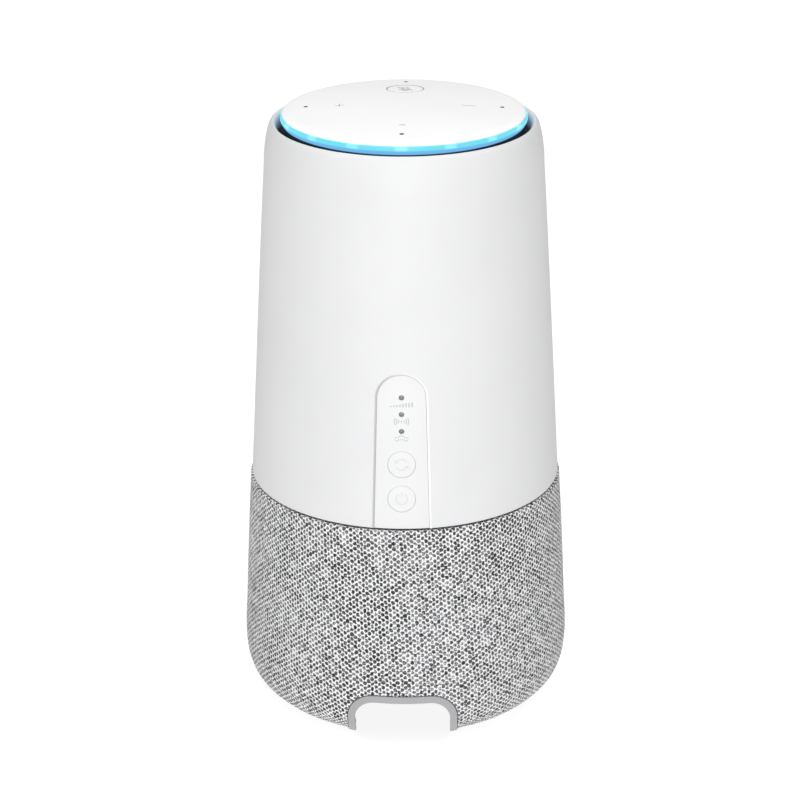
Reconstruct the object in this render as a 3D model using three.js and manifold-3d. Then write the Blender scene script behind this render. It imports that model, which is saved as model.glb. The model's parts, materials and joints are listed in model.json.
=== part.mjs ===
// Smart speaker with a built-in router: tapered shell over a fabric-wrapped speaker base.
// Millimetres, +Z up. The panel with the lights and buttons faces -Y.
import * as THREE from 'three';
import { mergeVertices } from 'three/addons/utils/BufferGeometryUtils.js';
import Module from 'manifold-3d';

const wasm = await Module();
wasm.setup();

// ---- driving dimensions -------------------------------------------------
const HEIGHT = 193;
const AROUND = 48;                 // facets around the body
const SEAM_Z = 72.9;               // top edge of the fabric
const SHELL_Z = 73.5;              // bottom edge of the shell
const SLEEVE_THICK = 0.9;
const SHELL_WALL = 2.4;

// Outer profiles as [radius, height]
const SLEEVE_OUTER = [
  [46.2, 1.5], [47.8, 3], [50.2, 6], [51.7, 10], [52.3, 15], [52.3, 20.5], [49.4, 72.1], [49.0, SEAM_Z],
];
const SHELL_OUTER = [
  [48.6, SHELL_Z], [48.85, 73.9], [46.1, 121.5], [43.3, 167],
  [42.7, 176], [42.3, 181], [41.85, 183.9], [41.15, 186.5], [40.7, 187.3], [40.1, 187.7], [39.5, 187.6],
];
const SHELL_LIP = [[39.05, 187.1], [38.6, 185.6], [38.4, 183.6]];

// Front panel, measured along the sloping front wall from the shell's lower edge
const SLOPE = Math.atan((48.85 - 46.1) / (121.5 - 73.9));
const PANEL_TOP = 48.5;
const PANEL_LOW_HALF = 8.41;
const PANEL_HIGH_HALF = 7.27;
const PANEL_STEP = 0.35;
const LIGHTS = { signal: 41.5, wifi: 36.25, lan: 30.9 };
const KEYS = { pairing: 20.3, power: 9.3 };
const KEY_RADIUS = 4.2;
const KEY_TRAVEL_ROOM = 1.1;

// Top
const CAP_SPHERE = 315;            // radius of the domed cap
const RING_RADIUS = 37.5;
const MIC_RADIUS = 29.7;
const MUTE = { y: 18.2, radius: 5.6 };

// Cable arch and the pocket behind it
const ARCH_HALF = 17.1;
const ARCH_TOP = 17.8;
const ARCH_FRAME = 2.25;
const POCKET = { half: 16.2, back: -16, top: 17.6 };

// ---- materials ----------------------------------------------------------
function finish(color, roughness, metalness = 0) {
  return new THREE.MeshStandardMaterial({ color, roughness, metalness });
}

const WHITE = finish(0xf2f2f3, 0.45);
const CAP_WHITE = finish(0xf4f4f5, 0.5);
const PANEL_WHITE = finish(0xededef, 0.4);
const KEY_WHITE = finish(0xf0f0f1, 0.42);
const GREY = finish(0xb0b0b2, 0.5);
const FABRIC = finish(0xdfdfe2, 0.95);
const SMOKE = finish(0x77787c, 0.3);
const GLOW = finish(0x8fefff, 0.3);
const DARK = finish(0x2b2c2f, 0.6);
const RUBBER = finish(0x8a8b8e, 0.9);
const BOARD = finish(0x1f5a3c, 0.55);
const STEEL = finish(0xb9bbbf, 0.35, 1);
const ALUMINIUM = finish(0xc7c9cc, 0.4, 1);
const FERRITE = finish(0x3a3b3e, 0.8);
const PAPER = finish(0x26272a, 0.85);
const BRASS = finish(0xb98a4a, 0.35, 1);
const LED_CREAM = finish(0xf3efd8, 0.4);

// ---- solids -------------------------------------------------------------
function clean(geometry) {
  const bare = new THREE.BufferGeometry();
  bare.setAttribute('position', geometry.getAttribute('position').clone());
  if (geometry.index) {
    bare.setIndex(geometry.index.clone());
  }
  const merged = mergeVertices(bare, 1e-4);
  const kept = [];
  for (let i = 0; i < merged.index.count; i += 3) {
    const [a, b, c] = [0, 1, 2].map((k) => merged.index.getX(i + k));
    if (a !== b && b !== c && a !== c) {
      kept.push(a, b, c);
    }
  }
  merged.setIndex(kept);
  return merged;
}

function solid(geometry) {
  const merged = clean(geometry);
  return new wasm.Manifold(new wasm.Mesh({
    numProp: 3,
    vertProperties: new Float32Array(merged.getAttribute('position').array),
    triVerts: new Uint32Array(merged.index.array),
  }));
}

function fromSolid(body) {
  const data = body.getMesh();
  const geometry = new THREE.BufferGeometry();
  geometry.setAttribute('position', new THREE.BufferAttribute(new Float32Array(data.vertProperties), 3));
  geometry.setIndex(new THREE.BufferAttribute(new Uint32Array(data.triVerts), 1));
  return geometry;
}

// Turned body about Z. The profile runs up its outer side and back down its inner side.
function turned(profile, segments = 18) {
  const points = profile.map(([r, z]) => new THREE.Vector2(r, z));
  if (profile[0][0] > 0) {
    points.push(points[0].clone());
  }
  return new THREE.LatheGeometry(points, segments).rotateX(Math.PI / 2);
}

function ring(inner, outer, low, high, segments = 18) {
  return turned([[inner, low], [outer, low], [outer, high], [inner, high]], segments);
}

function disc(radius, low, high, segments = 18) {
  return turned([[0, low], [radius, low], [radius, high], [0, high]], segments);
}

function block([x0, y0, z0], [x1, y1, z1]) {
  return new THREE.BoxGeometry(x1 - x0, y1 - y0, z1 - z0)
    .translate((x0 + x1) / 2, (y0 + y1) / 2, (z0 + z1) / 2);
}

function layer(profile, from, to, segments = AROUND) {
  const outer = profile.map(([r, z]) => [r - from, z]);
  const inner = profile.map(([r, z]) => [r - to, z]).reverse();
  return turned([...outer, ...inner], segments);
}

// Takes the tools, each a geometry, away from a solid
function subtractAll(body, tools) {
  return tools.reduce((rest, tool) => rest.subtract(solid(tool)), body);
}

const speaker = new THREE.Group();
speaker.name = 'smart_speaker';

function add(name, shape, material) {
  const geometry = shape instanceof THREE.BufferGeometry ? clean(shape) : fromSolid(shape);
  geometry.computeVertexNormals();
  const mesh = new THREE.Mesh(geometry, material);
  mesh.name = name;
  speaker.add(mesh);
}

// ---- cable arch ---------------------------------------------------------
function archShape(half, top, corner) {
  const shape = new THREE.Shape();
  shape.moveTo(-half, -2);
  shape.lineTo(half, -2);
  shape.lineTo(half, top - corner);
  shape.absarc(half - corner, top - corner, corner, 0, Math.PI / 2, false);
  shape.lineTo(corner - half, top);
  shape.absarc(corner - half, top - corner, corner, Math.PI / 2, Math.PI, false);
  shape.closePath();
  return shape;
}

// A prism along Y from the shape drawn in X and Z
function alongY(shape, yFrom, yTo, curveSegments = 6) {
  const geometry = new THREE.ExtrudeGeometry(shape, {
    depth: yTo - yFrom, bevelEnabled: false, curveSegments,
  });
  return geometry.rotateX(Math.PI / 2).translate(0, yTo, 0);
}

const archOuter = (grow) => alongY(archShape(ARCH_HALF + grow, ARCH_TOP + grow, 8.6), -60, -36);
const archInner = alongY(archShape(ARCH_HALF - ARCH_FRAME, ARCH_TOP - ARCH_FRAME, 6.4), -60, -36);

const LOWER_OUTER = SLEEVE_OUTER.filter(([, z]) => z < 30);
const trimFoot = [[45.6, 0.4], ...LOWER_OUTER];
const trimBand = solid(layer(trimFoot, -0.35, 5.4));
add('cable_arch_trim', trimBand.intersect(solid(archOuter(0)).subtract(solid(archInner))), GREY);

// ---- fabric sleeve and the frame behind it -----------------------------
add('fabric_sleeve', subtractAll(solid(layer(SLEEVE_OUTER, 0, SLEEVE_THICK)), [archOuter(0.15)]), FABRIC);

const FRAME_LOW = 24;
const frameProfile = [[52.1, FRAME_LOW], [49.4, 72]];
const frameWindows = [];
for (let row = 0; row < 2; row += 1) {
  for (let column = 0; column < 12; column += 1) {
    const slot = block([-8.5, 40, 0], [8.5, 60, 16]);
    slot.translate(0, 0, 30 + row * 20);
    slot.rotateZ((column + 0.5) * Math.PI / 6);
    frameWindows.push(slot);
  }
}
add('grille_frame', subtractAll(solid(layer(frameProfile, SLEEVE_THICK + 0.1, 3.2)), frameWindows), WHITE);
add('seam_ring', ring(45.4, 48.3, SEAM_Z + 0.05, SHELL_Z - 0.05, AROUND), DARK);

// ---- base ---------------------------------------------------------------
const CORNERS = [45, 135, 225, 315].map((degrees) => degrees * Math.PI / 180);
const SCREW_CIRCLE = 34;
const at = (geometry, radius, angle) =>
  geometry.translate(radius * Math.cos(angle), radius * Math.sin(angle), 0);

const cupProfile = [
  [0, 1.5], [45.1, 1.5], [46.8, 3], [49.2, 6], [50.7, 10], [51.3, 15], [51.3, 20.5], [51.05, FRAME_LOW],
  [46.6, FRAME_LOW], [46.6, 22], [48.6, 19], [47.4, 8.5], [44.6, 3.7], [0, 3.7],
];
const JACK = { x: -7.5, half: 8, low: 4.6, high: 17.8 };
const POWER_JACK = { x: 9.3, z: 8.7, radius: 4.2 };
const TRAY = { x: 9.4, half: 5.6, low: 14.8, high: 16.3 };
const RESET = { x: -24, y: 2 };
const housing = solid(block(
  [-POCKET.half - 2, -36.1, 1.5], [POCKET.half + 2, POCKET.back + 2, POCKET.top + 1.8],
));
add('port_housing', subtractAll(housing, [
  block([-POCKET.half, -60, -1], [POCKET.half, POCKET.back, POCKET.top]),
  block([JACK.x - 6, POCKET.back - 1, 6.4], [JACK.x + 6, POCKET.back + 3, 14.8]),
  new THREE.CylinderGeometry(POWER_JACK.radius + 0.15, POWER_JACK.radius + 0.15, 6, 20)
    .translate(POWER_JACK.x, POCKET.back + 1, POWER_JACK.z),
  block([TRAY.x - TRAY.half - 0.25, POCKET.back - 1, TRAY.low - 0.25],
    [TRAY.x + TRAY.half + 0.25, POCKET.back + 3, TRAY.high + 0.25]),
]), DARK);
add('base_cover', subtractAll(solid(turned(cupProfile, AROUND)), [
  archOuter(0.15),
  block([-POCKET.half - 2.05, -60, -1], [POCKET.half + 2.05, POCKET.back + 2.05, 5]),
  disc(1.7, 0, 6, 10).translate(RESET.x, RESET.y, 0),
  ...CORNERS.map((angle) => at(disc(3.3, 0, 6, 12), SCREW_CIRCLE, angle)),
]), WHITE);

const footProfile = [[37.6, 0.3], [37.9, 0], [43.6, 0], [44.1, 0.5], [44.1, 1.5], [37.6, 1.5]];
add('foot_ring', subtractAll(solid(turned(footProfile, AROUND)), [
  block([-ARCH_HALF - 0.4, -60, -1], [ARCH_HALF + 0.4, -20, 3]),
]), RUBBER);

CORNERS.forEach((angle, index) => {
  const screw = turned([
    [0, 2], [2.4, 2], [2.9, 2.4], [2.9, 3.75], [1.5, 3.75], [1.5, 25.6], [0, 25.6],
  ], 10);
  add(`base_screw_${index + 1}`, at(screw, SCREW_CIRCLE, angle), STEEL);
});

// ---- ports on the back wall of the pocket ------------------------------
const jackBody = solid(block(
  [JACK.x - JACK.half, POCKET.back + 2.1, JACK.low], [JACK.x + JACK.half, 7, JACK.high],
));
add('ethernet_jack', subtractAll(jackBody, [
  block([JACK.x - 5.9, POCKET.back, 6.5], [JACK.x + 5.9, 0, 14.7]),
]), STEEL);

const powerJack = turned([
  [0, 0], [POWER_JACK.radius, 0], [POWER_JACK.radius, 2], [4.6, 2.2], [4.6, 14], [0, 14],
], 20);
const powerBore = ring(1, 2.8, -1, 9.5, 12);
const powerSolid = solid(powerJack).subtract(solid(powerBore))
  .transform(new THREE.Matrix4().makeRotationX(-Math.PI / 2)
    .setPosition(POWER_JACK.x, POCKET.back + 0.2, POWER_JACK.z).toArray());
add('dc_jack', powerSolid, DARK);

add('sim_holder', subtractAll(
  solid(block([TRAY.x - 6.6, POCKET.back + 2.1, 13.9], [TRAY.x + 6.6, 4, JACK.high])),
  [block([TRAY.x - 5.85, POCKET.back, 14.55], [TRAY.x + 5.85, 3, 16.55])],
), STEEL);
add('sim_tray', block(
  [TRAY.x - TRAY.half, POCKET.back - 0.3, TRAY.low], [TRAY.x + TRAY.half, 2, TRAY.high],
), GREY);
add('port_board', subtractAll(
  solid(block([-27, POCKET.back + 2.2, JACK.high + 0.05], [30, 18, 19.4])),
  CORNERS.map((angle) => at(disc(5, 17, 20, 10), SCREW_CIRCLE, angle)),
), BOARD);
add('reset_button', disc(1.4, 2.6, 14.2, 10).translate(RESET.x, RESET.y, 0), DARK);
add('reset_switch', subtractAll(
  solid(block([RESET.x - 3, RESET.y - 3, 13.6], [RESET.x + 3, RESET.y + 3, JACK.high])),
  [disc(1.75, 13, 15.4, 10).translate(RESET.x, RESET.y, 0)],
), DARK);

// ---- sound diffuser, enclosure and driver ------------------------------
let diffuser = solid(turned([
  [0, FRAME_LOW], [48.4, FRAME_LOW], [48.4, 25.8], [26, 25.8], [5, 31.4], [0, 32.4],
], 24));
for (const angle of CORNERS) {
  diffuser = diffuser.add(solid(at(disc(3.4, 25, 35.95, 8), 40.5, angle + Math.PI / 4)))
    .add(solid(at(disc(4.6, 3.8, 25, 10), SCREW_CIRCLE, angle)));
}
add('sound_diffuser', subtractAll(
  diffuser, CORNERS.map((angle) => at(disc(1.8, 0, 27, 8), SCREW_CIRCLE, angle)),
), DARK);

const ENCLOSURE_LOW = 36;
const ENCLOSURE_HIGH = 74;
const DRIVER_SCREWS = 30.2;
add('speaker_enclosure', subtractAll(solid(turned([
  [27.8, ENCLOSURE_LOW], [45, ENCLOSURE_LOW], [45, ENCLOSURE_HIGH], [0, ENCLOSURE_HIGH],
  [0, ENCLOSURE_HIGH - 2.4], [42.6, ENCLOSURE_HIGH - 2.4], [42.6, 38.6], [27.8, 38.6],
], 32)), CORNERS.map((angle) => at(disc(1.5, 34, 40, 8), DRIVER_SCREWS, angle))), DARK);

const basketWindows = CORNERS.map((angle) => block([15, -5, 39.5], [30, 5, 47]).rotateZ(angle));
const basketHoles = CORNERS.map((angle) => at(disc(1.5, 30, 40, 8), DRIVER_SCREWS, angle));
add('driver_basket', subtractAll(solid(turned([
  [26.2, 33.9], [33, 33.9], [33, 35.4], [27.4, 35.4], [22.8, 49.6], [22.8, 51.4], [11.4, 51.4], [11.4, 50],
  [21.2, 50], [26.2, 36.6],
], 20)), [...basketWindows, ...basketHoles]), STEEL);
add('driver_gasket', subtractAll(
  solid(ring(28.2, 33, 35.45, ENCLOSURE_LOW - 0.05, 20)), basketHoles,
), RUBBER);
add('driver_top_plate', ring(11.2, 21, 51.45, 54.4), STEEL);
add('driver_magnet', ring(13, 22, 54.45, 61), FERRITE);
add('driver_yoke', turned([
  [0, 50.8], [9.5, 50.8], [9.5, 61.05], [21, 61.05], [21, 64], [0, 64],
]), STEEL);
add('driver_cone', turned([
  [0, 40.2], [6, 41], [10.6, 43], [23, 36.6], [23.3, 37.3], [11.3, 44.2], [10.8, 44.8], [10.8, 55.2],
  [10.1, 55.2], [10.1, 43.8], [6, 41.8], [0, 41],
], 20), PAPER);
add('driver_surround', turned([
  [23.5, 36.4], [24.2, 34.4], [25.2, 34.1], [26, 34.8], [26, 35.4], [25.2, 34.8], [24.6, 35], [24, 36.8],
  [23.5, 37],
], 20), RUBBER);
CORNERS.forEach((angle, index) => {
  const screw = turned([
    [0, 32.6], [2.2, 32.6], [2.6, 33], [2.6, 33.85], [1.3, 33.85], [1.3, 39.6], [0, 39.6],
  ], 8);
  add(`driver_screw_${index + 1}`, at(screw, DRIVER_SCREWS, angle), STEEL);
});

// ---- shell, panel and keys ---------------------------------------------
// The panel frame: X across, Y up along the front wall, Z outward from its surface.
const panelMatrix = new THREE.Matrix4()
  .makeBasis(
    new THREE.Vector3(1, 0, 0),
    new THREE.Vector3(0, Math.sin(SLOPE), Math.cos(SLOPE)),
    new THREE.Vector3(0, -Math.cos(SLOPE), Math.sin(SLOPE)),
  )
  .setPosition(0, -48.85, 73.9);
const onPanel = (geometry) => geometry.applyMatrix4(panelMatrix);

function panelPrism(grow, from, to) {
  const shape = new THREE.Shape();
  shape.moveTo(-PANEL_LOW_HALF - grow, -3 - grow);
  shape.lineTo(PANEL_LOW_HALF + grow, -3 - grow);
  const high = PANEL_HIGH_HALF + grow;
  shape.lineTo(high, PANEL_TOP - PANEL_HIGH_HALF);
  shape.absarc(0, PANEL_TOP - PANEL_HIGH_HALF, high, 0, Math.PI, false);
  shape.closePath();
  const geometry = new THREE.ExtrudeGeometry(shape, {
    depth: to - from, bevelEnabled: false, curveSegments: 8,
  });
  return onPanel(geometry.translate(0, 0, from));
}

// A round stepped pin standing on the panel frame; steps are [radius, out] going inward
function pin(up, steps, segments = 20) {
  const profile = [[0, steps[0][1]]];
  for (let i = 1; i < steps.length; i += 1) {
    profile.push([steps[i][0], steps[i - 1][1]], [steps[i][0], steps[i][1]]);
  }
  profile.push([0, steps[steps.length - 1][1]]);
  const geometry = turned(profile.reverse(), segments);
  return onPanel(geometry.translate(0, up, 0));
}

const innerWall = SHELL_OUTER.filter(([, z]) => z < 170).map(([r, z]) => [r - SHELL_WALL, z]).reverse();
const shellProfile = [...SHELL_OUTER, ...SHELL_LIP, [39.9, 182.4], ...innerWall];
const panelLayer = solid(layer(
  [[49, 73], [48.85, 73.9], [46.1, 121.5], [45.5, 132]], -2, PANEL_STEP + 1.05,
));
const bores = [
  ...Object.values(KEYS).map((up) => pin(up, [[0, 3], [KEY_RADIUS + 0.22, -6]], 20)),
  ...Object.values(LIGHTS).map((up) => pin(up, [[0, 3], [0.95, -6]], 8)),
];
const panelSeat = panelLayer.intersect(solid(panelPrism(0.12, -8, 3)));
add('shell', subtractAll(solid(turned(shellProfile, AROUND)).subtract(panelSeat), bores), WHITE);

const panelSkin = solid(layer(
  [[48.87, SHELL_Z], [46.1, 121.5], [45.5, 132]], PANEL_STEP, PANEL_STEP + 1,
));
add('front_panel', subtractAll(panelSkin.intersect(solid(panelPrism(0, -8, 3))), bores), PANEL_WHITE);

const BOARD_FRONT = -9.2;
for (const [name, up] of Object.entries(KEYS)) {
  add(`${name}_button`, pin(up, [[0, -0.4], [KEY_RADIUS - 0.2, -0.4], [KEY_RADIUS, -0.65],
    [KEY_RADIUS, -3.3], [5.2, -4.2], [1.5, -5.9]], 20), KEY_WHITE);
  const housing = onPanel(block([-3, up - 3, BOARD_FRONT], [3, up + 3, -5.3]));
  add(`${name}_switch`, solid(housing).subtract(
    solid(pin(up, [[0, -5], [1.75, -5.9 - KEY_TRAVEL_ROOM]], 10)),
  ), DARK);
}
for (const [name, up] of Object.entries(LIGHTS)) {
  add(`${name}_light_pipe`, pin(up, [[0, -0.3], [0.75, -3.4], [1.5, -7.9]], 8), SMOKE);
  add(`${name}_led`, onPanel(block([-0.8, up - 0.6, BOARD_FRONT], [0.8, up + 0.6, -8])), LED_CREAM);
}
add('key_board', onPanel(block([-9.5, 3.2, BOARD_FRONT - 1.4], [9.5, 46, BOARD_FRONT - 0.02])), BOARD);

// ---- core with the router boards ---------------------------------------
let core = solid(disc(44.8, ENCLOSURE_HIGH + 0.05, 76, 32));
core = core.add(solid(block([-35, 10, 75], [35, 12, 176])));
const STANDOFFS = [[-28, 84], [28, 84], [-28, 166], [28, 166]];
for (const [x, z] of STANDOFFS) {
  core = core.add(solid(new THREE.CylinderGeometry(2.8, 2.8, 2.5, 8).translate(x, 9.2, z)));
}
const screwBores = STANDOFFS.map(([x, z]) =>
  new THREE.CylinderGeometry(1.4, 1.4, 12, 8).translate(x, 8, z));
add('core_frame', subtractAll(core, screwBores), DARK);
add('main_board', subtractAll(solid(block([-33, 6.3, 80], [33, 7.9, 172])), screwBores), BOARD);
[STANDOFFS[0], STANDOFFS[3]].forEach(([x, z], index) => {
  const screw = turned([[0, 0], [1.2, 0], [1.2, 6.4], [2.4, 6.4], [2.4, 7.8], [0, 7.8]], 8);
  screw.rotateX(Math.PI / 2).translate(x, 12.6, z);
  add(`board_screw_${index + 1}`, screw, STEEL);
});
add('rf_shield', block([-19, 3.4, 96], [19, 6.2, 134]), STEEL);
const fins = [];
for (let i = 0; i < 7; i += 1) {
  fins.push(block([-20.4 + i * 6, -13, 89], [-15.6 + i * 6, 0.8, 141]));
}
add('heat_sink', subtractAll(solid(block([-22, -12, 90], [22, 3.3, 140])), fins), ALUMINIUM);
for (const [side, sign] of [['left', -1], ['right', 1]]) {
  const middle = sign * 35.6;
  add(`mobile_antenna_${side}`, block([middle - 0.5, -6, 96], [middle + 0.5, 14, 170]), BRASS);
  add(`wifi_antenna_${side}`, block([sign * 19 - 6, 12.05, 128], [sign * 19 + 6, 13, 172]), BRASS);
}

// ---- top: carrier, board, light ring, cap and mute key ------------------
const CARRIER_LOW = 178;
let carrier = solid(turned([
  [0, CARRIER_LOW], [37.6, CARRIER_LOW], [37.6, 179.6], [36.4, 179.6], [36.4, 186.9], [35.2, 186.9],
  [35.2, 179.6], [0, 179.6],
], 32));
for (let i = 0; i < 3; i += 1) {
  const angle = (i / 3 + 0.05) * Math.PI * 2;
  carrier = carrier.add(solid(at(disc(2.4, 179, 182.95, 8), 25, angle)));
}
add('cap_carrier', carrier, DARK);
const micCut = (radius, low, high) => [0, 1, 2, 3].map((i) =>
  at(disc(radius, low, high, 6), MIC_RADIUS, i * Math.PI / 2));
add('top_board', subtractAll(solid(disc(34.9, 183, 184.6, 32)), micCut(0.6, 182, 186)), BOARD);
add('light_ring', turned([
  [34.2, 187], [RING_RADIUS - 0.6, 187], [RING_RADIUS, 188.2], [RING_RADIUS, 189.75], [34.2, 189.75],
], AROUND), GLOW);
const capZ = (r) => HEIGHT - r * r / (2 * CAP_SPHERE);
const capOuter = [
  [37.0, 189.8], [37.05, 190.1], [36.7, 190.6], [35.9, capZ(35.9) - 0.15], [34.5, capZ(34.5)],
];
const capProfile = [[0, 190.6], [33.6, 188.9], [33.6, 187.2], [34.1, 187.2], [34.1, 189.8], ...capOuter,
  [24, capZ(24)], [12, capZ(12)], [0, HEIGHT]];
const muteAt = (geometry) => geometry.translate(0, MUTE.y, 0);
add('top_cap', subtractAll(solid(turned(capProfile, AROUND)), [
  ...micCut(0.6, 186, 194), muteAt(disc(MUTE.radius + 0.2, 186, 196, 24)),
]), CAP_WHITE);
const mutePlug = solid(muteAt(disc(MUTE.radius, 188.6, 196, 24))).intersect(
  solid(turned([
    [0, 180], [34.5, 180], [34.5, capZ(34.5)], [24, capZ(24)], [12, capZ(12)], [0, HEIGHT],
  ], AROUND)),
);
const muteStem = solid(muteAt(disc(1.5, 187.2, 189, 10)));
const muteFlange = solid(muteAt(disc(7.2, 188.2, 189, 16)));
add('mute_button', mutePlug.add(muteFlange).add(muteStem), CAP_WHITE);
add('mute_switch', subtractAll(solid(block([-3, MUTE.y - 3, 184.65], [3, MUTE.y + 3, 187.5])), [
  muteAt(disc(1.75, 186, 190, 10)),
]), DARK);

export default speaker;
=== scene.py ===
import json
import math

import bmesh
import bpy
import numpy as np
from mathutils import Matrix, Vector


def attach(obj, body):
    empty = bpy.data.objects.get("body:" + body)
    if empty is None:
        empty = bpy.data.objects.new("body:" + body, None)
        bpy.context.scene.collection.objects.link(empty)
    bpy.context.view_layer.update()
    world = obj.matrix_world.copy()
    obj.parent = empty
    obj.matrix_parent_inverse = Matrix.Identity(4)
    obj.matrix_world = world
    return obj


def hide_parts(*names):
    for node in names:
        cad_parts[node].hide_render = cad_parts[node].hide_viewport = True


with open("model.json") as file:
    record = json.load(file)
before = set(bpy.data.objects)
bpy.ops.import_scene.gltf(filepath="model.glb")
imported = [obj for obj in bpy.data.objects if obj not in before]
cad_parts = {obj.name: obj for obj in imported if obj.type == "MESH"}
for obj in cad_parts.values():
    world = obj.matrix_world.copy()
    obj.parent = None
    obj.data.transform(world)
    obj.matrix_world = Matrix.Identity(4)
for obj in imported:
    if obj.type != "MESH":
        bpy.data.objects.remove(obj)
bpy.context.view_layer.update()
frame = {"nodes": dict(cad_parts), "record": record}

MM = 0.001
HOUSING = "housing"
AROUND = 256

# ---- shapes, in millimetres -----------------------------------------------
SLEEVE_OUTER = [
    (44.3, 0.75), (45.6, 1.2), (47.8, 3.0), (50.2, 6.0), (51.7, 10.1), (52.3, 15.2), (52.33, 20.3),
    (51.83, 28.4), (51.24, 40.5), (50.42, 55.7), (49.42, 72.1),
]
SHELL_SIDE = [
    (48.85, 73.9), (47.475, 97.7), (46.1, 121.5), (44.58, 146.9), (43.32, 167.2), (42.83, 174.3),
    (42.66, 178.3), (42.27, 181.3), (41.84, 183.9), (41.45, 185.4), (41.12, 186.5), (40.7, 187.3),
    (40.1, 187.75), (39.5, 187.6),
]
SHELL_FOOT = 48.85                  # radius of the shell at its lower edge
SHELL_FOOT_Z = 73.9
SHELL_MIDDLE, SHELL_MIDDLE_Z = 46.1, 121.5
PANEL_ORIGIN = Vector((0, -SHELL_FOOT, SHELL_FOOT_Z))
SLOPE = math.atan((SHELL_FOOT - SHELL_MIDDLE) / (SHELL_MIDDLE_Z - SHELL_FOOT_Z))
PANEL_TOP = 48.5
PANEL_LOW_HALF = 8.41
PANEL_HIGH_HALF = 7.27
PANEL_STEP = 0.35
PANEL_FOOT = -3.0                   # the panel's outline starts below the shell's edge
LINER_FOOT = -0.35
LIGHTS = {"signal": 41.5, "wifi": 36.25, "lan": 30.9}
KEYS = {"pairing": 20.3, "power": 9.3}
KEY_RADIUS = 4.2
KEY_GAP = 0.035
WINDOW_BORE = 0.8                   # radius of the panel's bore for a status light
SIGN_DROP = 2.95                    # from a status light down to the foot of its sign
CAP_TOP = 193.0
CAP_SPHERE = 315.0
MUTE_Y = 18.2
MIC_RADIUS = 29.7
MUTE_RADIUS = 5.6
MUTE_BORE = MUTE_RADIUS + 0.3
MIC_HOLE, MIC_GAUZE = 0.7, 0.69
TOUCH_X, TOUCH_Y = 19.5, -1.3
CAP_INK = 0.02                      # height of the print on the cap
RING_RADIUS = 37.5
ARCH_HALF = 17.1
ARCH_TOP = 17.8
ARCH_FRAME = 2.25
ARCH_FROM, ARCH_TO = 36, 60         # the arch is cut between these distances in front of the axis
COLUMN_PAIRS = 141                  # pairs of knit columns round the sleeve
COLUMN_PAIR_WIDTH = 2.26
ROW_PITCH = 1.685
HOLE_HALF_WIDTH, HOLE_HALF_HEIGHT = 0.66, 0.78
KNIT_LEAN = 0.04                    # column pairs that the knit leans sideways in one row
RING_SPLIT = (0.18835, 0.18875)     # metres: the light ring turns from the blue of its painted reflection below to its cyan glow between these heights
RING_DIODES = 16


def smooth_path(points, step):
    """Catmull-Rom curve through the points, sampled about every step."""
    p = np.array(points, float)
    p = np.vstack([2 * p[0] - p[1], p, 2 * p[-1] - p[-2]])
    out = []
    for i in range(1, len(p) - 2):
        a, b, c, d = p[i - 1:i + 3]
        t1, t2, t3 = np.cumsum([np.linalg.norm(q) ** 0.5 for q in (b - a, c - b, d - c)])
        n = max(1, int(np.ceil(np.linalg.norm(c - b) / step)))
        for t in t1 + (t2 - t1) * np.arange(n) / n:
            a1 = a * (t1 - t) / t1 + b * t / t1
            a2 = b * (t2 - t) / (t2 - t1) + c * (t - t1) / (t2 - t1)
            a3 = c * (t3 - t) / (t3 - t2) + d * (t - t2) / (t3 - t2)
            b1 = a1 * (t2 - t) / t2 + a2 * t / t2
            b2 = a2 * (t3 - t) / (t3 - t1) + a3 * (t - t1) / (t3 - t1)
            out.append(b1 * (t2 - t) / (t2 - t1) + b2 * (t - t1) / (t2 - t1))
    return out + [p[-2]]


def rounded(points, corners, steps=5):
    """The profile with some of its corners rounded; corners maps an index to a radius."""
    out = []
    for i, q in enumerate(points):
        q = np.array(q, float)
        radius = corners.get(i)
        if not radius:
            out.append(q)
            continue
        before = np.array(points[i - 1], float) - q
        after = np.array(points[(i + 1) % len(points)], float) - q
        a = q + before / np.linalg.norm(before) * radius
        c = q + after / np.linalg.norm(after) * radius
        for t in np.linspace(0, 1, steps + 1):
            out.append((1 - t) ** 2 * a + 2 * t * (1 - t) * q + t * t * c)
    return out


def to_object(name, verts, faces, sharp=30):
    mesh = bpy.data.meshes.new(name)
    mesh.from_pydata([tuple(np.asarray(v, float) * MM) for v in verts], [], faces)
    obj = bpy.data.objects.new(name, mesh)
    bpy.context.scene.collection.objects.link(obj)
    weld(mesh)
    shade(mesh, sharp)
    return obj


def weld(mesh):
    bm = bmesh.new()
    bm.from_mesh(mesh)
    bmesh.ops.remove_doubles(bm, verts=bm.verts, dist=1e-7)
    bmesh.ops.dissolve_degenerate(bm, edges=bm.edges, dist=1e-8)
    bmesh.ops.recalc_face_normals(bm, faces=bm.faces)
    bm.to_mesh(mesh)
    bm.free()


def shade(mesh, sharp):
    mesh.shade_smooth()
    mesh.set_sharp_from_angle(angle=math.radians(sharp))


def lathe(name, profile, segments=AROUND, sharp=30):
    """Turned body about Z. The profile is closed: its end joins its start."""
    n = len(profile)
    verts, faces = [], []
    for i in range(segments):
        a = 2 * math.pi * i / segments
        verts += [(r * math.sin(a), -r * math.cos(a), z) for r, z in profile]
    for i in range(segments):
        base, after = i * n, ((i + 1) % segments) * n
        for j in range(n):
            k = (j + 1) % n
            faces.append((base + j, after + j, after + k, base + k))
    return to_object(name, verts, faces, sharp)


def prism(name, outline, low, high, place=Matrix.Identity(4), sharp=30):
    """A closed prism from an outline in X and Y, between two heights, then placed."""
    n = len(outline)
    verts = [place @ Vector((x, y, z)) for z in (low, high) for x, y in outline]
    faces = [tuple(range(n))[::-1], tuple(range(n, 2 * n))]
    faces += [(i, (i + 1) % n, n + (i + 1) % n, n + i) for i in range(n)]
    return to_object(name, verts, faces, sharp)


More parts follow.
